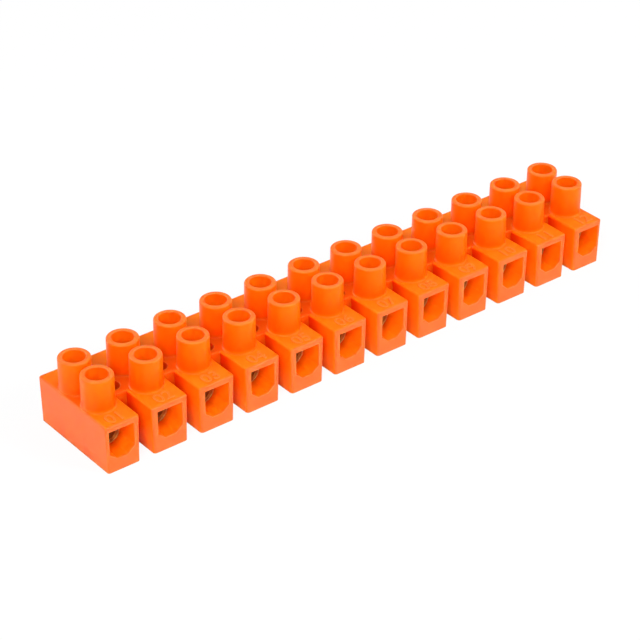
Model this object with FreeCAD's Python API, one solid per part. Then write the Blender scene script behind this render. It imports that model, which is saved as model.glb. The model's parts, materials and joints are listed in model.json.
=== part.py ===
"""Twelve-pole terminal strip with a tubular brass clamp and two screws in each pole.

The strip lies along X and stands on its flat base. The origin is in the middle of the base,
-Y is the front with its row of wire entries, and pole 1 is at the -X end. Millimetres.
"""
import FreeCAD, Part
import math
import os

from FreeCAD import Vector

# Poles
pole_count = 12
pole_pitch = 8.0

# Moulded body
body_depth = 16.6
body_height = 7.5
block_width = 6.0
end_half_width = 2.6
web_width = 4.3
side_draft_deg = 1.25
block_corner_radius = 0.45
end_corner_radius = 0.3
top_edge_radius = 0.25

# Screw towers
tower_height = 5.05
tower_diameter = 4.7
tower_draft_deg = 0.5
tower_row_spacing = 5.55
tower_bore_diameter = 3.3
tower_rim_radius = 0.28
tower_lead_in = 0.06
tower_foot_flare = 0.12
screw_seat_height = 6.5

# Wire entries
entry_width = 4.2
entry_bottom = 1.98
entry_top = 6.67
entry_chamfer_width = 1.2
entry_chamfer_height = 1.0
entry_funnel_depth = 3.05

# Mounting holes between the poles
mounting_hole_diameter = 2.5

# Brass sleeves
sleeve_height = 4.0
sleeve_outer_diameter = 3.6
sleeve_wall = 0.45
sleeve_length = 10.0
sleeve_edge_chamfer = 0.28
sleeve_clearance = 0.05

# Clamping screws, drawn without their thread
thread_diameter = 2.4
thread_clearance = 0.07
passage_clearance = 0.15
screw_shank_length = 3.25
screw_tip_chamfer = 0.25
screw_tip_gap = 0.05
head_clearance = 0.15
head_height = 1.3
head_edge_chamfer = 0.15
slot_width = 0.6
slot_depth = 0.65

# Lengths worked out from the sizes above
notch_depth = (body_depth - web_width) / 2
half_span = (pole_count - 1) * pole_pitch / 2
strip_length = 2 * (half_span + end_half_width)
strip_height = body_height + tower_height
side_draft = math.tan(math.radians(side_draft_deg))
tower_draft = math.tan(math.radians(tower_draft_deg))
sleeve_seat_radius = sleeve_outer_diameter / 2 + sleeve_clearance
sleeve_bore_radius = sleeve_outer_diameter / 2 - sleeve_wall
shank_radius = thread_diameter / 2
head_radius = tower_bore_diameter / 2 - head_clearance
screw_tip_height = sleeve_height + sleeve_bore_radius + screw_tip_gap
cut_overrun = 1.0

UP = Vector(0, 0, 1)
BACK = Vector(0, 1, 0)


def pole_x(pole):
    """X of a pole's centre, counted from 0 at the -X end."""
    return pole * pole_pitch - half_span


def pole_centres():
    return [pole_x(pole) for pole in range(pole_count)]


def gap_centres():
    """X of the middle of each gap between neighbouring poles."""
    return [pole_x(gap) + pole_pitch / 2 for gap in range(pole_count - 1)]


def row_offsets():
    """Y of the front and the back row of towers."""
    return (-tower_row_spacing / 2, tower_row_spacing / 2)


def cylinder(radius, length, base, axis=UP):
    return Part.makeCylinder(radius, length, base, axis)


def revolved(profile, x, y):
    """A solid turned about a vertical axis from a closed profile of (radius, height) points."""
    points = [Vector(radius, 0, height) for radius, height in profile]
    face = Part.Face(Part.makePolygon(points + points[:1]))
    turned = face.revolve(Vector(0, 0, 0), UP, 360)
    turned.translate(Vector(x, y, 0))
    return turned


def prism(profile, start_y, length):
    """A solid along Y from a closed profile of (x, z) points."""
    points = [Vector(x, start_y, z) for x, z in profile]
    face = Part.Face(Part.makePolygon(points + points[:1]))
    return face.extrude(Vector(0, length, 0))


def half_turned(solid):
    """A copy turned half way round the vertical axis of the strip, from the front to the back."""
    opposite = solid.copy()
    opposite.rotate(Vector(0, 0, 0), UP, 180)
    return opposite


def front_notch(x):
    """The gap in front of the web between two blocks, wider at the foot than at the top."""
    top_half = (pole_pitch - block_width) / 2
    over_half = top_half - side_draft * cut_overrun
    under_half = top_half + side_draft * (body_height + cut_overrun)
    profile = [
        (x - under_half, -cut_overrun),
        (x + under_half, -cut_overrun),
        (x + over_half, body_height + cut_overrun),
        (x - over_half, body_height + cut_overrun),
    ]
    return prism(profile, -body_depth / 2 - cut_overrun, notch_depth + cut_overrun)


def upright_corners(solid, at_ends):
    """The upright edges on the front and back faces, either at the strip's ends or at its notches."""
    chosen = []
    for edge in solid.Edges:
        points = [vertex.Point for vertex in edge.Vertexes]
        upright = abs(points[0].z - points[-1].z) > body_height / 2
        on_face = all(abs(abs(point.y) - body_depth / 2) < 1e-6 for point in points)
        if upright and on_face and at_ends == (abs(points[0].x) > half_span):
            chosen.append(edge)
    return chosen


def notched_bar():
    """The blocks on their web, with drafted sides and softened upright and top edges."""
    top_x = half_span + end_half_width
    foot_x = top_x - side_draft * body_height
    ends = [(-foot_x, 0), (foot_x, 0), (top_x, body_height), (-top_x, body_height)]
    notches = [front_notch(x) for x in gap_centres()]
    notches += [half_turned(notch) for notch in notches]
    bar = prism(ends, -body_depth / 2, body_depth).cut(notches)
    bar = bar.makeFillet(block_corner_radius, upright_corners(bar, False))
    bar = bar.makeFillet(end_corner_radius, upright_corners(bar, True))
    top_edges = [
        edge for edge in bar.Edges
        if all(abs(vertex.Z - body_height) < 1e-6 for vertex in edge.Vertexes)
    ]
    return bar.makeFillet(top_edge_radius, top_edges)


def tower(x, y):
    """A screw tower with a rounded rim and a flared foot, solid until its bore is cut."""
    top_radius = tower_diameter / 2
    foot_radius = top_radius + tower_height * tower_draft
    plug = revolved(
        [
            (0, screw_seat_height),
            (foot_radius + tower_foot_flare, screw_seat_height),
            (foot_radius + tower_foot_flare, body_height),
            (foot_radius - tower_foot_flare * tower_draft, body_height + tower_foot_flare),
            (top_radius, strip_height),
            (0, strip_height),
        ],
        x,
        y,
    )
    rim = [
        edge for edge in plug.Edges
        if abs(edge.BoundBox.ZMin - strip_height) < 1e-6 and edge.BoundBox.XLength > top_radius
    ]
    return plug.makeFillet(tower_rim_radius, rim)


def screw_passage(x, y):
    """The bore for the screw's head, with a lead-in, over the narrower hole for its shank."""
    bore_radius = tower_bore_diameter / 2
    hole_radius = shank_radius + passage_clearance
    return revolved(
        [
            (0, sleeve_height),
            (hole_radius, sleeve_height),
            (hole_radius, screw_seat_height),
            (bore_radius, screw_seat_height),
            (bore_radius, strip_height - tower_lead_in),
            (bore_radius + tower_lead_in + cut_overrun, strip_height + cut_overrun),
            (0, strip_height + cut_overrun),
        ],
        x,
        y,
    )


def entry_corners():
    """A wire entry's (x, z) corners at the face: square at the top, with the lower ones cut off."""
    half = entry_width / 2
    knee = half - entry_chamfer_width
    shoulder = entry_bottom + entry_chamfer_height
    corners = [(half, entry_top), (-half, entry_top), (-half, shoulder)]
    return corners + [(-knee, entry_bottom), (knee, entry_bottom), (half, shoulder)]


def entry_outline(y):
    """The mouth of a wire entry at the depth y."""
    points = [Vector(x, y, z) for x, z in entry_corners()]
    return Part.makePolygon(points + points[:1])


def throat_outline(y):
    """The round end of a wire entry, in as many arcs as its mouth has sides."""
    angles = [math.atan2(z - sleeve_height, x) for x, z in entry_corners()]
    edges = []
    for start, end in zip(angles, angles[1:] + angles[:1]):
        turn = (end - start) % (2 * math.pi)
        arc = [
            Vector(sleeve_seat_radius * math.cos(angle), y,
                   sleeve_height + sleeve_seat_radius * math.sin(angle))
            for angle in (start, start + turn / 2, start + turn)
        ]
        edges.append(Part.Arc(*arc).toShape())
    return Part.Wire(edges)


def wire_funnel():
    """The hollow of one front wire entry on the X origin, narrowing to the sleeve's seat."""
    face_y = -body_depth / 2
    outlines = [
        entry_outline(face_y - cut_overrun),
        entry_outline(face_y),
        throat_outline(face_y + entry_funnel_depth),
    ]
    return Part.makeLoft(outlines, True, True)


def wire_passage(x):
    """The hollow right through one pole: a funnel at each face and the sleeve's seat between."""
    funnel = wire_funnel()
    seat_length = body_depth - 2 * entry_funnel_depth
    seat = cylinder(sleeve_seat_radius, seat_length, Vector(0, -seat_length / 2, sleeve_height), BACK)
    passage = funnel.fuse([half_turned(funnel), seat])
    passage.translate(Vector(x, 0, 0))
    return passage


def housing():
    """The one-piece moulding: bar, towers, wire passages, screw passages and mounting holes."""
    towers = [tower(x, y) for x in pole_centres() for y in row_offsets()]
    solid = notched_bar().fuse(towers)
    hollows = [screw_passage(x, y) for x in pole_centres() for y in row_offsets()]
    hollows += [wire_passage(x) for x in pole_centres()]
    hollows += [
        cylinder(mounting_hole_diameter / 2, body_height + 2 * cut_overrun, Vector(x, 0, -cut_overrun))
        for x in gap_centres()
    ]
    return solid.cut(hollows).removeSplitter()


def sleeve(x):
    """A brass tube with two screw holes in its upper wall and countersunk ends."""
    outer, inner = sleeve_outer_diameter / 2, sleeve_bore_radius
    half, chamfer = sleeve_length / 2, sleeve_edge_chamfer
    profile = [
        (inner, chamfer - half), (inner + chamfer, -half), (outer, -half),
        (outer, half), (inner + chamfer, half), (inner, half - chamfer),
    ]
    tube = revolved(profile, 0, 0)
    tube.rotate(Vector(0, 0, 0), Vector(1, 0, 0), 90)
    tube.translate(Vector(x, 0, sleeve_height))
    holes = [
        cylinder(shank_radius + thread_clearance, sleeve_outer_diameter, Vector(x, y, sleeve_height))
        for y in row_offsets()
    ]
    return tube.cut(holes)


def clamp_screw(x, y):
    """A slotted clamping screw, backed out until its tip just clears the wire's path."""
    tip_z = screw_tip_height
    head_z = tip_z + screw_shank_length
    top_z = head_z + head_height
    blank = revolved(
        [
            (0, tip_z),
            (shank_radius - screw_tip_chamfer, tip_z),
            (shank_radius, tip_z + screw_tip_chamfer),
            (shank_radius, head_z),
            (head_radius, head_z),
            (head_radius, top_z - head_edge_chamfer),
            (head_radius - head_edge_chamfer, top_z),
            (0, top_z),
        ],
        x,
        y,
    )
    slot_corner = Vector(x - head_radius - cut_overrun, y - slot_width / 2, top_z - slot_depth)
    slot = Part.makeBox(2 * (head_radius + cut_overrun), slot_width, slot_depth + cut_overrun, slot_corner)
    return blank.cut(slot)


def main():
    nodes = {"housing": housing()}
    for number, x in enumerate(pole_centres(), 1):
        nodes[f"terminal_sleeve_{number:02d}"] = sleeve(x)
        for row, y in zip(("front", "back"), row_offsets()):
            nodes[f"clamp_screw_{row}_{number:02d}"] = clamp_screw(x, y)
    os.makedirs("parts", exist_ok=True)
    for name, shape in nodes.items():
        solid = shape.Solids[0]
        solid.exportStep(f"parts/{name}.step")
        print(name, len(shape.Solids), round(solid.Volume, 3), solid.isValid())
    travel = screw_tip_height + screw_shank_length - screw_seat_height
    print("strip", round(strip_length, 3), body_depth, strip_height, "screw travel", round(travel, 3))


main()
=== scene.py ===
import json
import math
import random

import bpy
from bpy.props import FloatProperty, FloatVectorProperty, IntProperty, PointerProperty
from mathutils import Matrix, Vector


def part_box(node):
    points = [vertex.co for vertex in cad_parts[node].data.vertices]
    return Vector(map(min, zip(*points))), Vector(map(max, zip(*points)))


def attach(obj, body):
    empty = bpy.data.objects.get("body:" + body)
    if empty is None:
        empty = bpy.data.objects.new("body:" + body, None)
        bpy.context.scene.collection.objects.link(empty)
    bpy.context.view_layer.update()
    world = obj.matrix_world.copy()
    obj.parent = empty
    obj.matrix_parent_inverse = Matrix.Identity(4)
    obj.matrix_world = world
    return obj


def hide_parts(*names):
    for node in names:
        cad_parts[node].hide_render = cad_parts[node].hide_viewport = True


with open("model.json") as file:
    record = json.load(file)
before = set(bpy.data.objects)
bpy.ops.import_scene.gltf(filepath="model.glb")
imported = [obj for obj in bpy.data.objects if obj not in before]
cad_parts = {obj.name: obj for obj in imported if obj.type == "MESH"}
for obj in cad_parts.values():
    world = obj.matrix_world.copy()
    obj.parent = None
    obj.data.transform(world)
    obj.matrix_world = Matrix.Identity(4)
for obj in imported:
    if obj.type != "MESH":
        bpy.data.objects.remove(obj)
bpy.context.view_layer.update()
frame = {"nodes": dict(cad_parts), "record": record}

bl_info = {
    "name": "Terminal strip",
    "version": (1, 0, 0),
    "blender": (4, 5, 0),
    "location": "3D View > Sidebar > Terminal strip",
    "description": "Finishes, threaded screws and pole numbers for a moulded terminal strip",
    "category": "Object",
}

NODES = frame["nodes"]
BODY_OF_NODE = {
    node: body
    for body, members in frame["record"]["behaviour"]["bodies"].items()
    for node in members
}
SLEEVE_NODES = sorted(name for name in NODES if name.startswith("terminal_sleeve_"))
SCREW_NODES = sorted(name for name in NODES if name.startswith("clamp_screw_"))
HOUSING_LOW, HOUSING_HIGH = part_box("housing")
FIRST_SCREW_LOW, FIRST_SCREW_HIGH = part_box("clamp_screw_front_01")
HEAD_RADIUS = (FIRST_SCREW_HIGH.x - FIRST_SCREW_LOW.x) / 2

# Heights above the base at which each tone of the moulding begins and is full, in metres: the block tops'
# painted light, the painted shade at the towers' feet, the painted light up their sides and the painted
# highlight on their rims
BLOCK_TOPS = (0.0070, 0.0074)
TOWER_FEET = (0.0076, 0.0082)
TOWER_SIDES = (0.0076, 0.0124)
TOWER_RIMS = (0.0123, 0.0125)

# Distances from the strip's middle line at which each tone begins, and the width of its fade, in metres:
# the web's painted shade, the deep painted shade beside it, and the painted light on the tops away from the
# towers
BLOCK_SIDES = (0.00218, 0.0001)
OPEN_SIDES = (0.0026, 0.0034)
CLEAR_TOPS = (0.0046, 0.0014)
BEYOND_ENDS = 1.0  # a half length at which only the distance from the middle line counts

# How deep the painted sheen on the outer faces begins, and the width of its fade, in metres
OUTER_SKIN, OUTER_FADE = 0.00035, 0.0003

# The screws' meshes, which are made in millimetres
MM_IN_METRE = 1000
FACES_AROUND, SHANK_ROWS = 28, 74
THREAD_FLANK = (0.15, 0.85)  # where the flank begins and ends, from a crest at 0 to a groove at 1
SCREW_SEAM_GAP = 0.002  # points nearer than this, in millimetres, are made one
SHARP_ANGLE = math.radians(38)  # edges that bend more than this aren't smoothed

NUMBER_SEAM_GAP = 0.000001  # points of a number nearer than this, in metres, are made one

# Tones of the metal, as factors of its main colour: duller patches, and edges made brighter partly by wear
# and partly as a painted highlight
DULL_STEEL = 0.72
BRIGHT_EDGE = 1.25

# The softboxes: name, place, side of the square and the setting that holds the power
SOFTBOXES = (
    ("Overhead softbox", (0.05, 0.0, 0.7), 0.7, "overhead_power"),
    ("Left softbox", (-0.54, -0.48, 0.55), 0.35, "left_power"),
    ("Right softbox", (0.45, -0.65, 0.5), 0.3, "right_power"),
    ("Back softbox", (-0.3, 0.78, 0.26), 0.3, "back_power"),
)
WHITE = (1.0, 1.0, 1.0, 1.0)
FLOOR_GAP = 0.00002  # metres between the strip's base and the floor
FLOOR_WHITE = 0.9  # share of plain white in the floor; the rest of it takes the strip's shadow
FLOOR_REFLECTED = 0.2  # share of that white that shows in reflections
SKY_REFLECTED = 1.0
SKY_FADE = (0.15, 0.4)  # heights at which the white behind the strip begins to dim and is gone


# Sizes and colours

class HousingSettings(bpy.types.PropertyGroup):
    """The orange moulding."""

    colour: FloatVectorProperty(
        name="Plastic colour", description="Main colour of the moulding", subtype="COLOR",
        size=4, min=0, max=1, default=(1.0, 0.165, 0.001, 1))
    light_colour: FloatVectorProperty(
        name="Drifted colour", description="Slightly paler tone that the melt drifts to", subtype="COLOR",
        size=4, min=0, max=1, default=(1.0, 0.185, 0.002, 1))
    # Painted highlight: a paler tone laid on the edges where light catches them
    edge_highlight_colour: FloatVectorProperty(
        name="Edge colour", description="Painted highlight on the edges", subtype="COLOR",
        size=4, min=0, max=1, default=(1.0, 0.25, 0.07, 1))
    # Painted sheen: a paler, bluer tone on the outer faces in place of their glossy haze
    outer_sheen_colour: FloatVectorProperty(
        name="Outer sheen colour", description="Paler tone of the outer faces", subtype="COLOR",
        size=4, min=0, max=1, default=(1.0, 0.152, 0.030, 1))
    # Painted shade: a deep red in the recesses near the web and in the wire entries
    deep_shade_colour: FloatVectorProperty(
        name="Deep colour", description="Deeper tone near the web and in the wire entries", subtype="COLOR",
        size=4, min=0, max=1, default=(0.72, 0.036, 0.0, 1))
    # Painted shade: a darker tone on the web between the blocks
    web_shade_colour: FloatVectorProperty(
        name="Web colour", description="Tone of the web between the blocks", subtype="COLOR",
        size=4, min=0, max=1, default=(0.84, 0.125, 0.003, 1))
    # Painted light: a lighter tone on the block tops away from the towers
    lit_top_colour: FloatVectorProperty(
        name="Top colour", description="Lighter tone of the blocks' tops", subtype="COLOR",
        size=4, min=0, max=1, default=(1.0, 0.195, 0.005, 1))
    # Painted shade at the towers' feet, rising to painted light on their upper part
    foot_shade_colour: FloatVectorProperty(
        name="Tower foot colour", description="Deeper tone of the towers' feet", subtype="COLOR",
        size=4, min=0, max=1, default=(1.0, 0.105, 0.0, 1))
    lit_tower_colour: FloatVectorProperty(
        name="Tower colour", description="Tone of the upper part of the towers", subtype="COLOR",
        size=4, min=0, max=1, default=(1.0, 0.155, 0.001, 1))
    # Painted highlight: a paler tone on the towers' rims
    rim_highlight_colour: FloatVectorProperty(
        name="Rim colour", description="Paler tone of the towers' rims", subtype="COLOR",
        size=4, min=0, max=1, default=(1.0, 0.185, 0.03, 1))
    roughness: FloatProperty(
        name="Roughness", description="Roughness of the satin surface", subtype="FACTOR",
        min=0, max=1, default=0.36)
    glow: FloatProperty(
        name="Glow", description="Share of the light that passes through the plastic", subtype="FACTOR",
        min=0, max=1, default=0.85)
    glow_depth: FloatProperty(
        name="Glow depth", description="How far light wanders inside the plastic",
        subtype="DISTANCE", unit="LENGTH", min=0, default=0.0014)
    grain_size: FloatProperty(
        name="Grain size", description="Size of the fine spark-eroded mould grain",
        subtype="DISTANCE", unit="LENGTH", min=0.00001, default=0.00016)


class NumberSettings(bpy.types.PropertyGroup):
    """The raised pole numbers."""

    glyph_size: FloatProperty(
        name="Number size", description="Type size of the pole numbers",
        subtype="DISTANCE", unit="LENGTH", min=0.0001, default=0.0029)
    relief: FloatProperty(
        name="Relief", description="How far the numbers stand up from the block",
        subtype="DISTANCE", unit="LENGTH", min=0, default=0.00013)
    block_top: FloatProperty(
        name="Block top", description="Height of the blocks' top faces above the base",
        subtype="DISTANCE", unit="LENGTH", min=0, default=0.0075)
    front_margin: FloatProperty(
        name="Front margin", description="From the front face to the middle of the numbers",
        subtype="DISTANCE", unit="LENGTH", min=0, default=0.0015)


class ScrewSettings(bpy.types.PropertyGroup):
    """The clamping screws."""

    colour: FloatVectorProperty(
        name="Screw colour", description="Colour of the zinc-plated steel", subtype="COLOR",
        size=4, min=0, max=1, default=(0.66, 0.67, 0.69, 1))
    thread_radius: FloatProperty(
        name="Thread radius", description="Crest radius of the thread",
        subtype="DISTANCE", unit="LENGTH", min=0, default=0.00122)
    thread_depth: FloatProperty(
        name="Thread depth", description="Depth of the thread's grooves",
        subtype="DISTANCE", unit="LENGTH", min=0, default=0.00024)
    thread_pitch: FloatProperty(
        name="Thread pitch", description="Advance of the thread in one turn",
        subtype="DISTANCE", unit="LENGTH", min=0.00005, default=0.00045)
    tip_bevel: FloatProperty(
        name="Tip bevel", description="Bevel round the tip of the shank",
        subtype="DISTANCE", unit="LENGTH", min=0, default=0.00025)
    head_height: FloatProperty(
        name="Head height", description="Height of the cylindrical head",
        subtype="DISTANCE", unit="LENGTH", min=0, default=0.0013)
    edge_bevel: FloatProperty(
        name="Head bevel", description="Bevel round the top of the head",
        subtype="DISTANCE", unit="LENGTH", min=0, default=0.00015)
    slot_width: FloatProperty(
        name="Slot width", description="Width of the screwdriver slot",
        subtype="DISTANCE", unit="LENGTH", min=0, default=0.0006)
    slot_depth: FloatProperty(
        name="Slot depth", description="Depth of the screwdriver slot",
        subtype="DISTANCE", unit="LENGTH", min=0, default=0.00065)
    turn_seed: IntProperty(
        name="Turn seed", description="Picks how far each screw's slot is turned", default=12)


class SleeveSettings(bpy.types.PropertyGroup):
    """The brass sleeves."""

    colour: FloatVectorProperty(
        name="Brass colour", description="Colour of the clean brass", subtype="COLOR",
        size=4, min=0, max=1, default=(0.80, 0.46, 0.14, 1))
    tarnish_colour: FloatVectorProperty(
        name="Tarnish colour", description="Colour of the duller patches", subtype="COLOR",
        size=4, min=0, max=1, default=(0.48, 0.23, 0.06, 1))
    # Painted reflection: a warm orange-brown in the bore in place of the orange plastic it reflects
    bore_reflection_colour: FloatVectorProperty(
        name="Bore colour", description="Warm colour of the bore", subtype="COLOR",
        size=4, min=0, max=1, default=(0.72, 0.28, 0.05, 1))
    # Painted shade: a dark brown on the bore's chamfer
    chamfer_shade_colour: FloatVectorProperty(
        name="Chamfer colour", description="Browner colour of the bore's chamfer", subtype="COLOR",
        size=4, min=0, max=1, default=(0.30, 0.10, 0.012, 1))
    bore_radius: FloatProperty(
        name="Bore radius", description="Radius at which the chamfer begins",
        subtype="DISTANCE", unit="LENGTH", min=0, default=0.00136)
    ring_radius: FloatProperty(
        name="Ring radius", description="Radius at which the clean end ring begins",
        subtype="DISTANCE", unit="LENGTH", min=0, default=0.00158)


class StageSettings(bpy.types.PropertyGroup):
    """The floor, the light and the camera."""

    floor_colour: FloatVectorProperty(
        name="Floor colour", description="Colour of the floor", subtype="COLOR",
        size=4, min=0, max=1, default=(0.92, 0.92, 0.92, 1))
    floor_size: FloatProperty(
        name="Floor size", description="Side of the floor",
        subtype="DISTANCE", unit="LENGTH", min=0.1, default=6.0)
    sky_strength: FloatProperty(
        name="Sky strength", description="Strength of the light from all round", min=0, default=0.25)
    overhead_power: FloatProperty(
        name="Overhead power", description="Power of the softbox over the strip",
        unit="POWER", min=0, default=1.2)
    left_power: FloatProperty(
        name="Left power", description="Power of the softbox in front on the left",
        unit="POWER", min=0, default=6.2)
    right_power: FloatProperty(
        name="Right power", description="Power of the softbox in front on the right",
        unit="POWER", min=0, default=4.6)
    back_power: FloatProperty(
        name="Back power", description="Power of the small softbox behind the strip",
        unit="POWER", min=0, default=2.2)
    camera_place: FloatVectorProperty(
        name="Camera place", description="Where the camera stands", subtype="TRANSLATION",
        unit="LENGTH", size=3, default=(-0.175955, -0.214386, 0.176085))
    camera_direction: FloatVectorProperty(
        name="Camera direction", description="Direction that the camera looks in", subtype="DIRECTION",
        size=3, default=(0.53224, 0.66011, -0.53008))
    camera_roll: FloatProperty(
        name="Camera roll", description="Small roll of the camera about its own axis",
        subtype="ANGLE", unit="ROTATION", default=0.00737)
    lens: FloatProperty(
        name="Lens", description="Focal length", subtype="DISTANCE_CAMERA", unit="CAMERA",
        min=1, default=123.6)


class StripSettings(bpy.types.PropertyGroup):
    """Everything that can be changed about the strip."""

    housing: PointerProperty(type=HousingSettings, name="Housing", description="The orange moulding")
    numbers: PointerProperty(type=NumberSettings, name="Numbers", description="The raised pole numbers")
    screws: PointerProperty(type=ScrewSettings, name="Screws", description="The clamping screws")
    sleeves: PointerProperty(type=SleeveSettings, name="Sleeves", description="The brass sleeves")
    stage: PointerProperty(type=StageSettings, name="Stage", description="Floor, light and camera")


# Nodes

def add_node(tree, kind, inputs=None, **settings):
    """A new node with its settings and plain input values; inputs that are sockets are linked."""
    node = tree.nodes.new(kind)
    for name, value in settings.items():
        setattr(node, name, value)
    for name, value in (inputs or {}).items():
        if isinstance(value, bpy.types.NodeSocket):
            tree.links.new(value, node.inputs[name])
        else:
            node.inputs[name].default_value = value
    return node


def maths(tree, operation, *values):
    """The result of a Math node on up to three numbers or sockets."""
    inputs = {number: value for number, value in enumerate(values)}
    return add_node(tree, "ShaderNodeMath", inputs, operation=operation).outputs[0]


def mixed(tree, share, first, second):
    """A colour between two colours, each of them a socket or plain numbers."""
    mix = add_node(tree, "ShaderNodeMix", {"Factor": share, 6: first, 7: second}, data_type="RGBA")
    return mix.outputs[2]


def smooth_rise(tree, value, low=0.0, high=1.0):
    """A smooth rise from 0 to 1 while the value goes from low to high."""
    rise = add_node(tree, "ShaderNodeMapRange", {"Value": value, "From Min": low, "From Max": high},
                    interpolation_type="SMOOTHSTEP")
    return rise.outputs["Result"]


def object_place(tree):
    """Each point's place in its own piece's coordinates."""
    return add_node(tree, "ShaderNodeTexCoord").outputs["Object"]


def object_axes(tree):
    """The X, Y and Z of that place, each on its own."""
    return add_node(tree, "ShaderNodeSeparateXYZ", {"Vector": object_place(tree)}).outputs


def background_rays(tree, reflected):
    """1 for the camera's rays and the share given for those that come off or through the object."""
    rays = add_node(tree, "ShaderNodeLightPath").outputs
    indirect = maths(tree, "MAXIMUM", rays["Is Glossy Ray"], rays["Is Transmission Ray"])
    return maths(tree, "MAXIMUM", rays["Is Camera Ray"], maths(tree, "MULTIPLY", indirect, reflected))


def new_group(name, kind, inputs, outputs):
    """An empty node group with its interface; returns the tree, its input node and its output node."""
    tree = bpy.data.node_groups.new(name, kind)
    for label, socket_type, default in inputs:
        socket = tree.interface.new_socket(label, in_out="INPUT", socket_type=socket_type)
        if default is not None:
            socket.default_value = default
    for label, socket_type in outputs:
        tree.interface.new_socket(label, in_out="OUTPUT", socket_type=socket_type)
    return tree, tree.nodes.new("NodeGroupInput"), tree.nodes.new("NodeGroupOutput")


def use_group(tree, name, make, inputs):
    """A node for the shared shader group of that name, which is built for the first that asks."""
    group = bpy.data.node_groups.get(name) or make()
    return add_node(tree, "ShaderNodeGroup", inputs, node_tree=group)


# Shared shader groups

def grain_group():
    """Fine surface grain: a roughness and a bumped normal."""
    tree, given, result = new_group(
        "Surface grain", "ShaderNodeTree",
        [("Grain Size", "NodeSocketFloat", 0.0002), ("Depth", "NodeSocketFloat", 0.00001),
         ("Roughness", "NodeSocketFloat", 0.4), ("Roughness Spread", "NodeSocketFloat", 0.1)],
        [("Roughness", "NodeSocketFloat"), ("Normal", "NodeSocketVector")])
    place = object_place(tree)
    scale = maths(tree, "DIVIDE", 1.0, given.outputs["Grain Size"])
    wide_scale = maths(tree, "MULTIPLY", scale, 0.05)
    fine = add_node(tree, "ShaderNodeTexNoise", {"Vector": place, "Scale": scale, "Detail": 2.0})
    wide = add_node(tree, "ShaderNodeTexNoise", {"Vector": place, "Scale": wide_scale, "Detail": 3.0})
    shift = maths(tree, "SUBTRACT", wide.outputs["Fac"], 0.5)
    rough = maths(tree, "MULTIPLY_ADD", shift, given.outputs["Roughness Spread"],
                  given.outputs["Roughness"])
    bump = add_node(tree, "ShaderNodeBump",
                    {"Strength": 1.0, "Distance": given.outputs["Depth"], "Height": fine.outputs["Fac"]})
    tree.links.new(rough, result.inputs["Roughness"])
    tree.links.new(bump.outputs["Normal"], result.inputs["Normal"])
    return tree


def drift_group():
    """Slow drift between two tones of one colour."""
    tree, given, result = new_group(
        "Tone drift", "ShaderNodeTree",
        [("Main Tone", "NodeSocketColor", None), ("Other Tone", "NodeSocketColor", None),
         ("Patch Size", "NodeSocketFloat", 0.01), ("Contrast", "NodeSocketFloat", 1.0)],
        [("Colour", "NodeSocketColor")])
    scale = maths(tree, "DIVIDE", 1.0, given.outputs["Patch Size"])
    noise = add_node(tree, "ShaderNodeTexNoise",
                     {"Vector": object_place(tree), "Scale": scale, "Detail": 3.0, "Distortion": 0.6})
    patches = smooth_rise(tree, noise.outputs["Fac"], 0.35, 0.65)
    share = maths(tree, "MULTIPLY", patches, given.outputs["Contrast"])
    tree.links.new(mixed(tree, share, given.outputs["Main Tone"], given.outputs["Other Tone"]),
                   result.inputs["Colour"])
    return tree


def edge_group():
    """A mask of the edges, where a softened normal leaves the plain one."""
    tree, given, result = new_group(
        "Edge mask", "ShaderNodeTree",
        [("Radius", "NodeSocketFloat", 0.0002), ("Strength", "NodeSocketFloat", 1.0)],
        [("Mask", "NodeSocketFloat")])
    rounded = add_node(tree, "ShaderNodeBevel", {"Radius": given.outputs["Radius"]}, samples=6)
    plain = add_node(tree, "ShaderNodeNewGeometry")
    dot = add_node(tree, "ShaderNodeVectorMath",
                   {0: rounded.outputs["Normal"], 1: plain.outputs["Normal"]}, operation="DOT_PRODUCT")
    bent = maths(tree, "SUBTRACT", 1.0, dot.outputs["Value"])
    strong = maths(tree, "MULTIPLY", bent, given.outputs["Strength"])
    tree.links.new(maths(tree, "MINIMUM", strong, 1.0), result.inputs["Mask"])
    return tree


def height_group():
    """A mask that rises from 0 to 1 between two heights."""
    tree, given, result = new_group(
        "Height mask", "ShaderNodeTree",
        [("From Height", "NodeSocketFloat", 0.0), ("To Height", "NodeSocketFloat", 0.001)],
        [("Mask", "NodeSocketFloat")])
    mask = smooth_rise(tree, object_axes(tree)["Z"], given.outputs["From Height"],
                       given.outputs["To Height"])
    tree.links.new(mask, result.inputs["Mask"])
    return tree


def outer_group():
    """A mask that rises from 0 inside a box round the origin, given its half sizes, to 1 outside it."""
    tree, given, result = new_group(
        "Outer face mask", "ShaderNodeTree",
        [("Half Length", "NodeSocketFloat", 0.05), ("Half Depth", "NodeSocketFloat", 0.01),
         ("Softness", "NodeSocketFloat", 0.0003)],
        [("Mask", "NodeSocketFloat")])
    spot = object_axes(tree)
    beyond = [
        maths(tree, "SUBTRACT", maths(tree, "ABSOLUTE", spot[axis]), given.outputs[half])
        for axis, half in (("X", "Half Length"), ("Y", "Half Depth"))]
    share = maths(tree, "DIVIDE", maths(tree, "MAXIMUM", *beyond), given.outputs["Softness"])
    tree.links.new(smooth_rise(tree, share), result.inputs["Mask"])
    return tree


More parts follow.
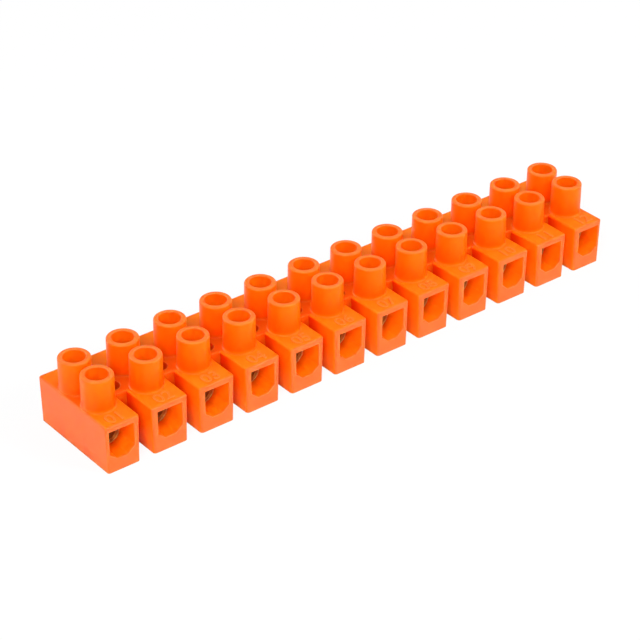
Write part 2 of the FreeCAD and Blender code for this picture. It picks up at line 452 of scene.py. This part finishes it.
def bore_group():
    """A mask that rises from 0 inside a radius round each pole's axis to 1 outside it."""
    tree, given, result = new_group(
        "Bore mask", "ShaderNodeTree",
        [("Pole Pitch", "NodeSocketFloat", 0.008), ("Axis Height", "NodeSocketFloat", 0.004),
         ("Radius", "NodeSocketFloat", 0.0016), ("Softness", "NodeSocketFloat", 0.00004)],
        [("Mask", "NodeSocketFloat")])
    spot = object_axes(tree)
    turn = maths(tree, "FRACT", maths(tree, "DIVIDE", spot["X"], given.outputs["Pole Pitch"]))
    aside = maths(tree, "MULTIPLY", maths(tree, "SUBTRACT", turn, 0.5), given.outputs["Pole Pitch"])
    above = maths(tree, "SUBTRACT", spot["Z"], given.outputs["Axis Height"])
    square = maths(tree, "ADD", maths(tree, "MULTIPLY", aside, aside),
                   maths(tree, "MULTIPLY", above, above))
    beyond = maths(tree, "SUBTRACT", maths(tree, "SQRT", square), given.outputs["Radius"])
    share = maths(tree, "DIVIDE", beyond, given.outputs["Softness"])
    tree.links.new(smooth_rise(tree, share), result.inputs["Mask"])
    return tree


def risen(tree, heights):
    """A material's mask that rises from 0 to 1 between two heights above the base."""
    low, high = heights
    return use_group(tree, "Height mask", height_group,
                     {"From Height": low, "To Height": high}).outputs["Mask"]


def outside(tree, half_depth, fade, half_length=BEYOND_ENDS):
    """A material's mask that rises from 0 near the strip's middle line to 1 further out."""
    return use_group(tree, "Outer face mask", outer_group, {
        "Half Length": half_length, "Half Depth": half_depth, "Softness": fade}).outputs["Mask"]


# Materials

def empty_tree(owner):
    """The cleared node tree of a material or a world."""
    owner.use_nodes = True
    owner.node_tree.nodes.clear()
    return owner.node_tree


def new_material(name):
    """A material with nothing but its Principled shader; returns it, its tree and the shader."""
    material = bpy.data.materials.new(name)
    tree = empty_tree(material)
    shader = tree.nodes.new("ShaderNodeBsdfPrincipled")
    output = tree.nodes.new("ShaderNodeOutputMaterial")
    tree.links.new(shader.outputs["BSDF"], output.inputs["Surface"])
    return material, tree, shader


def finish_surface(tree, shader, colour, grain):
    """Links a colour and the grain's roughness and normal to the shader."""
    tree.links.new(colour, shader.inputs["Base Color"])
    tree.links.new(grain.outputs["Roughness"], shader.inputs["Roughness"])
    tree.links.new(grain.outputs["Normal"], shader.inputs["Normal"])


def shaded(colour, factor):
    """A colour made lighter or darker by a factor."""
    return [min(1.0, part * factor) for part in colour[:3]] + [1.0]


def plastic_material(name, settings, main_tone, other_tone, glow):
    """Satin plastic with painted shade near the web, in the entries and at the towers' feet, painted light
    on the tops and up the towers, a painted sheen on its outer faces and painted highlights on its rims and
    edges.
    """
    material, tree, shader = new_material(name)
    tone = use_group(tree, "Tone drift", drift_group, {
        "Main Tone": main_tone, "Other Tone": other_tone, "Patch Size": 0.007, "Contrast": 0.7})
    grain = use_group(tree, "Surface grain", grain_group, {
        "Grain Size": settings.grain_size, "Depth": 0.000006,
        "Roughness": settings.roughness, "Roughness Spread": 0.16})
    edges = use_group(tree, "Edge mask", edge_group, {"Radius": 0.0003, "Strength": 2.6})
    tops = risen(tree, BLOCK_TOPS)
    open_parts = maths(tree, "MAXIMUM", outside(tree, *OPEN_SIDES), tops)
    outer_faces = outside(tree, HOUSING_HIGH.y - OUTER_SKIN, OUTER_FADE, HOUSING_HIGH.x - OUTER_SKIN)
    # Painted shade: the deep tone below the block tops near the web
    colour = mixed(tree, open_parts, settings.deep_shade_colour, tone.outputs["Colour"])
    # Painted shade on the web between the blocks
    colour = mixed(tree, outside(tree, *BLOCK_SIDES), settings.web_shade_colour, colour)
    layers = (
        # painted light on the tops away from the towers
        (maths(tree, "MULTIPLY", tops, outside(tree, *CLEAR_TOPS)), settings.lit_top_colour),
        # painted shade at the towers' feet
        (risen(tree, TOWER_FEET), settings.foot_shade_colour),
        # painted light up the towers' sides
        (risen(tree, TOWER_SIDES), settings.lit_tower_colour),
        # painted sheen on the outer faces
        (outer_faces, settings.outer_sheen_colour),
        # painted highlight on the rims
        (risen(tree, TOWER_RIMS), settings.rim_highlight_colour),
        # painted highlight on the edges
        (maths(tree, "MULTIPLY", edges.outputs["Mask"], open_parts), settings.edge_highlight_colour),
    )
    for mask, layer in layers:
        colour = mixed(tree, mask, colour, layer)
    finish_surface(tree, shader, colour, grain)
    shader.inputs["Specular IOR Level"].default_value = 0.2
    shader.inputs["Specular Tint"].default_value = (1.0, 0.65, 0.3, 1.0)
    shader.inputs["Subsurface Weight"].default_value = glow
    shader.inputs["Subsurface Radius"].default_value = (1.0, 0.3, 0.08)
    shader.inputs["Subsurface Scale"].default_value = settings.glow_depth
    shader.inputs["IOR"].default_value = 1.5
    return material


def metal_material(name, clean, dull, roughness, metallic, patch_size, contrast):
    """Metal with edges made brighter, partly by wear and partly as a painted highlight, over slightly
    duller flats; returns its colour as well.
    """
    material, tree, shader = new_material(name)
    tone = use_group(tree, "Tone drift", drift_group, {
        "Main Tone": clean, "Other Tone": dull, "Patch Size": patch_size, "Contrast": contrast})
    grain = use_group(tree, "Surface grain", grain_group, {
        "Grain Size": 0.00012, "Depth": 0.000004, "Roughness": roughness, "Roughness Spread": 0.25})
    edges = use_group(tree, "Edge mask", edge_group, {"Radius": 0.00008, "Strength": 1.5})
    # Edges made brighter, partly as wear and partly as a painted highlight
    colour = mixed(tree, edges.outputs["Mask"], tone.outputs["Colour"], shaded(clean, BRIGHT_EDGE))
    finish_surface(tree, shader, colour, grain)
    shader.inputs["Metallic"].default_value = metallic
    return material, tree, shader, colour


def brass_material(settings):
    """Brass with a clean golden end ring, painted brown shade on the bore's chamfer and a painted warm
    reflection of the orange plastic in the bore.
    """
    material, tree, shader, clean = metal_material(
        "Turned brass", settings.colour, settings.tarnish_colour,
        roughness=0.5, metallic=0.85, patch_size=0.003, contrast=0.6)
    low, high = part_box(SLEEVE_NODES[0])
    next_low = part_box(SLEEVE_NODES[1])[0]
    axes = {"Pole Pitch": next_low.x - low.x, "Axis Height": (low.z + high.z) / 2}
    chamfer = use_group(tree, "Bore mask", bore_group, {
        **axes, "Radius": settings.bore_radius, "Softness": 0.00002})
    ring = use_group(tree, "Bore mask", bore_group, {
        **axes, "Radius": settings.ring_radius, "Softness": 0.00004})
    # Painted shade on the chamfer and painted warm reflection in the bore, inside the clean brass ring
    bored = mixed(tree, chamfer.outputs["Mask"], settings.bore_reflection_colour, settings.chamfer_shade_colour)
    toned = mixed(tree, ring.outputs["Mask"], bored, clean)
    tree.links.new(toned, shader.inputs["Base Color"])
    return material


def give_material(obj, material):
    """Makes a material the only one of a piece."""
    obj.data.materials.clear()
    obj.data.materials.append(material)


# Geometry trees

def mesh_from_tree(name, tree, values):
    """Runs a geometry tree on an empty mesh and keeps the result as a plain mesh object."""
    obj = bpy.data.objects.new(name, bpy.data.meshes.new(name))
    bpy.context.scene.collection.objects.link(obj)
    modifier = obj.modifiers.new("Build", "NODES")
    modifier.node_group = tree
    sockets = {item.name: item.identifier for item in tree.interface.items_tree if item.in_out == "INPUT"}
    for label, value in values.items():
        modifier[sockets[label]] = value
    bpy.context.view_layer.update()
    evaluated = obj.evaluated_get(bpy.context.evaluated_depsgraph_get())
    mesh = bpy.data.meshes.new_from_object(evaluated)
    mesh.name = name
    obj.modifiers.remove(modifier)
    obj.data = mesh
    if not mesh.polygons:
        raise RuntimeError(f"{name} came out empty")
    return obj


def number_tree():
    """One raised number, its type laid flat round the place given."""
    tree, given, result = new_group(
        "Raised numbers", "GeometryNodeTree",
        [("Text", "NodeSocketString", "1"), ("Size", "NodeSocketFloat", 0.002),
         ("Relief", "NodeSocketFloat", 0.0001), ("Place", "NodeSocketVector", None),
         ("Material", "NodeSocketMaterial", None)],
        [("Geometry", "NodeSocketGeometry")])
    text = add_node(tree, "GeometryNodeStringToCurves",
                    {"String": given.outputs["Text"], "Size": given.outputs["Size"]},
                    align_x="CENTER", align_y="MIDDLE")
    loose = add_node(tree, "GeometryNodeRealizeInstances", {"Geometry": text.outputs["Curve Instances"]})
    filled = add_node(tree, "GeometryNodeFillCurve", {"Curve": loose.outputs["Geometry"]})
    raised = add_node(tree, "GeometryNodeExtrudeMesh",
                      {"Mesh": filled.outputs["Mesh"], "Offset Scale": given.outputs["Relief"],
                       "Individual": False})
    under = add_node(tree, "GeometryNodeFlipFaces", {"Mesh": filled.outputs["Mesh"]})
    both = add_node(tree, "GeometryNodeJoinGeometry")
    for part in (raised.outputs["Mesh"], under.outputs["Mesh"]):
        tree.links.new(part, both.inputs[0])
    closed = add_node(tree, "GeometryNodeMergeByDistance",
                      {"Geometry": both.outputs[0], "Distance": NUMBER_SEAM_GAP})
    moved = add_node(tree, "GeometryNodeTransform",
                     {"Geometry": closed.outputs[0], "Translation": given.outputs["Place"]})
    real = add_node(tree, "GeometryNodeRealizeInstances", {"Geometry": moved.outputs["Geometry"]})
    coated = add_node(tree, "GeometryNodeSetMaterial",
                      {"Geometry": real.outputs["Geometry"], "Material": given.outputs["Material"]})
    tree.links.new(coated.outputs["Geometry"], result.inputs["Geometry"])
    return tree


def screw_tree():
    """A slotted screw standing on its tip at the origin, with a rolled thread. Sizes in millimetres."""
    length = "NodeSocketFloat"
    tree, given, result = new_group(
        "Slotted screw", "GeometryNodeTree",
        [("Thread Radius", length, 1.2), ("Thread Depth", length, 0.2), ("Thread Pitch", length, 0.45),
         ("Shank Length", length, 3.0), ("Tip Bevel", length, 0.25), ("Head Radius", length, 1.6),
         ("Head Height", length, 1.3), ("Head Bevel", length, 0.15), ("Slot Width", length, 0.6),
         ("Slot Depth", length, 0.65), ("Material", "NodeSocketMaterial", None)],
        [("Geometry", "NodeSocketGeometry")])
    size = given.outputs

    def lifted(geometry, height):
        """The geometry moved up."""
        lift = add_node(tree, "ShaderNodeCombineXYZ", {"Z": height})
        return add_node(tree, "GeometryNodeTransform",
                        {"Geometry": geometry, "Translation": lift.outputs[0]}).outputs[0]

    def disc(radius, height, down=False):
        """A round end face that looks up, or down."""
        circle = add_node(tree, "GeometryNodeMeshCircle", {"Vertices": FACES_AROUND, "Radius": radius},
                          fill_type="NGON")
        face = circle.outputs["Mesh"]
        if down:
            face = add_node(tree, "GeometryNodeFlipFaces", {"Mesh": face}).outputs["Mesh"]
        return lifted(face, height)

    def tube(low_radius, high_radius, depth, height):
        """An open wall between two radii."""
        cone = add_node(tree, "GeometryNodeMeshCone",
                        {"Vertices": FACES_AROUND, "Radius Top": high_radius,
                         "Radius Bottom": low_radius, "Depth": depth}, fill_type="NONE")
        return lifted(cone.outputs["Mesh"], height)

    def closed(*parts):
        """The parts joined into one closed shell."""
        join = add_node(tree, "GeometryNodeJoinGeometry")
        for part in parts:
            tree.links.new(part, join.inputs[0])
        return add_node(tree, "GeometryNodeMergeByDistance",
                        {"Geometry": join.outputs[0], "Distance": SCREW_SEAM_GAP}).outputs[0]

    def boolean(operation, first, second):
        """The first shell less the second, or both as one."""
        node = add_node(tree, "GeometryNodeMeshBoolean", operation=operation, solver="EXACT")
        first_input = "Mesh 1" if operation == "DIFFERENCE" else "Mesh 2"
        tree.links.new(first, node.inputs[first_input])
        tree.links.new(second, node.inputs["Mesh 2"])
        return node.outputs["Mesh"]

    # The shank is a sheet rolled round Z, whose columns go round and whose rows go up.
    grid = add_node(tree, "GeometryNodeMeshGrid",
                    {"Size X": 1.0, "Size Y": 1.0, "Vertices X": FACES_AROUND + 1,
                     "Vertices Y": SHANK_ROWS})
    spot = add_node(tree, "ShaderNodeSeparateXYZ",
                    {"Vector": add_node(tree, "GeometryNodeInputPosition").outputs[0]})
    share = maths(tree, "ADD", spot.outputs["X"], 0.5)
    sunk = maths(tree, "ADD", size["Shank Length"], size["Head Bevel"])
    height = maths(tree, "MULTIPLY", maths(tree, "ADD", spot.outputs["Y"], 0.5), sunk)
    angle = maths(tree, "MULTIPLY", share, 2 * math.pi)
    turns = maths(tree, "SUBTRACT", maths(tree, "DIVIDE", height, size["Thread Pitch"]), share)
    ridge = maths(tree, "ABSOLUTE", maths(tree, "MULTIPLY_ADD", maths(tree, "FRACT", turns), 2.0, -1.0))
    flank_start, flank_end = THREAD_FLANK
    groove = add_node(tree, "ShaderNodeMapRange",
                      {"Value": ridge, "From Min": flank_start, "From Max": flank_end})
    run_out = add_node(tree, "ShaderNodeMapRange",
                       {"Value": height, "From Min": size["Shank Length"],
                        "From Max": maths(tree, "SUBTRACT", size["Shank Length"], size["Thread Pitch"])})
    cut = maths(tree, "MULTIPLY",
                maths(tree, "MULTIPLY", groove.outputs["Result"], run_out.outputs["Result"]),
                size["Thread Depth"])
    crest = maths(tree, "SUBTRACT", size["Thread Radius"], cut)
    tip_radius = maths(tree, "SUBTRACT", size["Thread Radius"], size["Tip Bevel"])
    radius = maths(tree, "MINIMUM", crest, maths(tree, "ADD", tip_radius, height))
    wrapped = add_node(tree, "ShaderNodeCombineXYZ",
                       {"X": maths(tree, "MULTIPLY", maths(tree, "COSINE", angle), radius),
                        "Y": maths(tree, "MULTIPLY", maths(tree, "SINE", angle), radius),
                        "Z": height})
    side = add_node(tree, "GeometryNodeSetPosition",
                    {"Geometry": grid.outputs["Mesh"], "Position": wrapped.outputs[0]})
    shank = closed(side.outputs[0], disc(tip_radius, 0.0, down=True), disc(size["Thread Radius"], sunk))

    top = maths(tree, "ADD", size["Shank Length"], size["Head Height"])
    wall = maths(tree, "SUBTRACT", size["Head Height"], size["Head Bevel"])
    rim_radius = maths(tree, "SUBTRACT", size["Head Radius"], size["Head Bevel"])
    head = closed(
        disc(size["Head Radius"], size["Shank Length"], down=True),
        tube(size["Head Radius"], size["Head Radius"], wall, size["Shank Length"]),
        tube(size["Head Radius"], rim_radius, size["Head Bevel"],
             maths(tree, "ADD", size["Shank Length"], wall)),
        disc(rim_radius, top))

    # The slot's cutter reaches past both sides of the head, and half of it stands above the top.
    slot_size = add_node(tree, "ShaderNodeCombineXYZ",
                         {"X": maths(tree, "MULTIPLY", size["Head Radius"], 3.0), "Y": size["Slot Width"],
                          "Z": maths(tree, "MULTIPLY", size["Slot Depth"], 2.0)})
    block = add_node(tree, "GeometryNodeMeshCube", {"Size": slot_size.outputs[0]})
    slotted = boolean("DIFFERENCE", head, lifted(block.outputs["Mesh"], top))
    whole = boolean("UNION", shank, slotted)

    smooth = add_node(tree, "GeometryNodeSetShadeSmooth", {"Geometry": whole, "Shade Smooth": True})
    bend = add_node(tree, "GeometryNodeInputMeshEdgeAngle").outputs["Unsigned Angle"]
    sharp = add_node(tree, "GeometryNodeSetShadeSmooth",
                     {"Geometry": smooth.outputs[0], "Shade Smooth": False,
                      "Selection": maths(tree, "GREATER_THAN", bend, SHARP_ANGLE)},
                     domain="EDGE")
    metres = add_node(tree, "GeometryNodeTransform",
                      {"Geometry": sharp.outputs[0], "Scale": [1 / MM_IN_METRE] * 3})
    real = add_node(tree, "GeometryNodeRealizeInstances", {"Geometry": metres.outputs[0]})
    coated = add_node(tree, "GeometryNodeSetMaterial",
                      {"Geometry": real.outputs[0], "Material": given.outputs["Material"]})
    tree.links.new(coated.outputs[0], result.inputs["Geometry"])
    return tree


# Operators

class STRIP_OT_housing(bpy.types.Operator):
    """Gives the moulding its satin orange plastic"""

    bl_idname = "terminal_strip.housing"
    bl_label = "Finish the housing"

    def execute(self, context):
        settings = context.scene.terminal_strip.housing
        material = plastic_material(
            "Orange plastic", settings, settings.colour, settings.light_colour, settings.glow)
        give_material(NODES["housing"], material)
        return {"FINISHED"}


class STRIP_OT_numbers(bpy.types.Operator):
    """Raises a plain number on the front of each block"""

    bl_idname = "terminal_strip.numbers"
    bl_label = "Raise the pole numbers"

    def execute(self, context):
        settings = context.scene.terminal_strip.numbers
        housing = context.scene.terminal_strip.housing
        # The numbers' plastic takes the painted edge highlight tone as its colour, with the housing's
        # painted light and shade layers laid over it
        plastic = plastic_material(
            "Rubbed orange plastic", housing, housing.edge_highlight_colour, housing.edge_highlight_colour, glow=0.0)
        tree = number_tree()
        for number, node in enumerate(SLEEVE_NODES, 1):
            low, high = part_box(node)
            place = ((low.x + high.x) / 2, HOUSING_LOW.y + settings.front_margin, settings.block_top)
            numeral = mesh_from_tree(f"pole_number_{number:02d}", tree, {
                "Text": f"{number:02d}", "Size": settings.glyph_size, "Relief": settings.relief,
                "Place": place, "Material": plastic})
            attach(numeral, BODY_OF_NODE["housing"])
        return {"FINISHED"}


class STRIP_OT_sleeves(bpy.types.Operator):
    """Gives the sleeves inside the poles their turned brass"""

    bl_idname = "terminal_strip.sleeves"
    bl_label = "Finish the brass sleeves"

    def execute(self, context):
        brass = brass_material(context.scene.terminal_strip.sleeves)
        for node in SLEEVE_NODES:
            give_material(NODES[node], brass)
        return {"FINISHED"}


class STRIP_OT_screws(bpy.types.Operator):
    """Cuts the threaded clamping screws, each turned its own way"""

    bl_idname = "terminal_strip.screws"
    bl_label = "Make the clamping screws"

    def execute(self, context):
        settings = context.scene.terminal_strip.screws
        steel = metal_material(
            "Zinc-plated steel", settings.colour, shaded(settings.colour, DULL_STEEL),
            roughness=0.32, metallic=1.0, patch_size=0.002, contrast=0.5)[0]
        length = FIRST_SCREW_HIGH.z - FIRST_SCREW_LOW.z - settings.head_height
        sizes = {
            "Thread Radius": settings.thread_radius, "Thread Depth": settings.thread_depth,
            "Thread Pitch": settings.thread_pitch, "Shank Length": length,
            "Tip Bevel": settings.tip_bevel, "Head Radius": HEAD_RADIUS,
            "Head Height": settings.head_height, "Head Bevel": settings.edge_bevel,
            "Slot Width": settings.slot_width, "Slot Depth": settings.slot_depth}
        values = {label: size * MM_IN_METRE for label, size in sizes.items()}
        pattern = mesh_from_tree("screw_pattern", screw_tree(), {**values, "Material": steel})
        turns = random.Random(settings.turn_seed)
        for node in SCREW_NODES:
            low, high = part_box(node)
            place = Vector(((low.x + high.x) / 2, (low.y + high.y) / 2, low.z))
            mesh = pattern.data.copy()
            mesh.transform(Matrix.Translation(place) @ Matrix.Rotation(turns.uniform(0, math.pi), 4, "Z"))
            screw = bpy.data.objects.new(node.replace("clamp_screw", "threaded_screw"), mesh)
            context.scene.collection.objects.link(screw)
            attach(screw, BODY_OF_NODE[node])
            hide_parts(node)
        bpy.data.objects.remove(pattern)
        return {"FINISHED"}


class STRIP_OT_stage(bpy.types.Operator):
    """Sets the pale floor, the soft light and the camera"""

    bl_idname = "terminal_strip.stage"
    bl_label = "Set the stage"

    def execute(self, context):
        settings = context.scene.terminal_strip.stage
        self.lay_floor(context, settings)
        self.hang_softboxes(context, settings)
        self.light_sky(context, settings)
        self.place_camera(context, settings)
        context.scene.view_settings.view_transform = "Standard"
        return {"FINISHED"}

    def lay_floor(self, context, settings):
        """A wide floor just under the strip, near white to the camera, that takes its shadow."""
        half = settings.floor_size / 2
        mesh = bpy.data.meshes.new("floor")
        corners = [(-half, -half), (half, -half), (half, half), (-half, half)]
        mesh.from_pydata([(x, y, HOUSING_LOW.z - FLOOR_GAP) for x, y in corners], [], [(0, 1, 2, 3)])
        floor = bpy.data.objects.new("floor", mesh)
        context.scene.collection.objects.link(floor)
        material = bpy.data.materials.new("Pale floor")
        tree = empty_tree(material)
        paint = add_node(tree, "ShaderNodeBsdfDiffuse", {"Color": settings.floor_colour})
        glow = add_node(tree, "ShaderNodeEmission", {"Strength": 1.0})
        share = maths(tree, "MULTIPLY", background_rays(tree, FLOOR_REFLECTED), FLOOR_WHITE)
        mix = add_node(tree, "ShaderNodeMixShader", {"Fac": share, 1: paint.outputs[0], 2: glow.outputs[0]})
        add_node(tree, "ShaderNodeOutputMaterial", {"Surface": mix.outputs[0]})
        floor.data.materials.append(material)

    def hang_softboxes(self, context, settings):
        """Square lamps that all face the middle of the strip."""
        middle = Vector((0, 0, HOUSING_HIGH.z / 2))
        for name, place, side, power in SOFTBOXES:
            data = bpy.data.lights.new(name, "AREA")
            data.shape, data.size, data.energy = "SQUARE", side, getattr(settings, power)
            lamp = bpy.data.objects.new(name, data)
            lamp.location = place
            lamp.rotation_euler = (middle - Vector(place)).to_track_quat("-Z", "Y").to_euler()
            context.scene.collection.objects.link(lamp)

    def light_sky(self, context, settings):
        """A dim light from all round, and white behind the strip where it is seen or reflected."""
        world = bpy.data.worlds.new("Studio")
        tree = empty_tree(world)
        place = add_node(tree, "ShaderNodeTexCoord").outputs["Generated"]
        height = add_node(tree, "ShaderNodeSeparateXYZ", {"Vector": place}).outputs["Z"]
        fade_start, fade_end = SKY_FADE
        fall = add_node(tree, "ShaderNodeMapRange",
                        {"Value": height, "From Min": fade_start, "From Max": fade_end,
                         "To Min": 1.0, "To Max": 0.0})
        share = maths(tree, "MULTIPLY", background_rays(tree, SKY_REFLECTED), fall.outputs["Result"])
        shade = mixed(tree, share, [settings.sky_strength] * 3 + [1.0], WHITE)
        sky = add_node(tree, "ShaderNodeBackground", {"Color": shade, "Strength": 1.0})
        add_node(tree, "ShaderNodeOutputWorld", {"Surface": sky.outputs[0]})
        context.scene.world = world

    def place_camera(self, context, settings):
        """The camera at the photo's angle."""
        data = bpy.data.cameras.new("Photo camera")
        data.lens = settings.lens
        data.clip_start, data.clip_end = 0.01, 20.0
        camera = bpy.data.objects.new("Photo camera", data)
        look = Vector(settings.camera_direction).to_track_quat("-Z", "Y").to_matrix().to_4x4()
        roll = Matrix.Rotation(settings.camera_roll, 4, "Z")
        camera.matrix_world = Matrix.Translation(settings.camera_place) @ look @ roll
        context.scene.collection.objects.link(camera)
        context.scene.camera = camera


class STRIP_PT_panel(bpy.types.Panel):
    """Lists the strip's settings and the steps that build it"""

    bl_idname = "STRIP_PT_panel"
    bl_label = "Terminal strip"
    bl_space_type = "VIEW_3D"
    bl_region_type = "UI"
    bl_category = "Terminal strip"

    def draw(self, context):
        settings = context.scene.terminal_strip
        for operator in OPERATORS:
            part = operator.bl_idname.split(".")[1]
            box = self.layout.box()
            group = getattr(settings, part)
            for name in group.__annotations__:
                box.prop(group, name)
            box.operator(operator.bl_idname)


OPERATORS = (STRIP_OT_housing, STRIP_OT_numbers, STRIP_OT_sleeves, STRIP_OT_screws, STRIP_OT_stage)
CLASSES = (
    HousingSettings, NumberSettings, ScrewSettings, SleeveSettings, StageSettings, StripSettings,
    *OPERATORS, STRIP_PT_panel,
)


def register():
    """Registers the classes and hangs the settings on the scene."""
    for made in CLASSES:
        bpy.utils.register_class(made)
    bpy.types.Scene.terminal_strip = PointerProperty(type=StripSettings)


def unregister():
    """Takes the settings and the classes away again."""
    del bpy.types.Scene.terminal_strip
    for made in reversed(CLASSES):
        bpy.utils.unregister_class(made)


def main():
    """Builds the dressed strip and its stage, one operator after the other."""
    register()
    for operator in OPERATORS:
        group, name = operator.bl_idname.split(".")
        getattr(getattr(bpy.ops, group), name)()


if __name__ == "__main__":
    main()
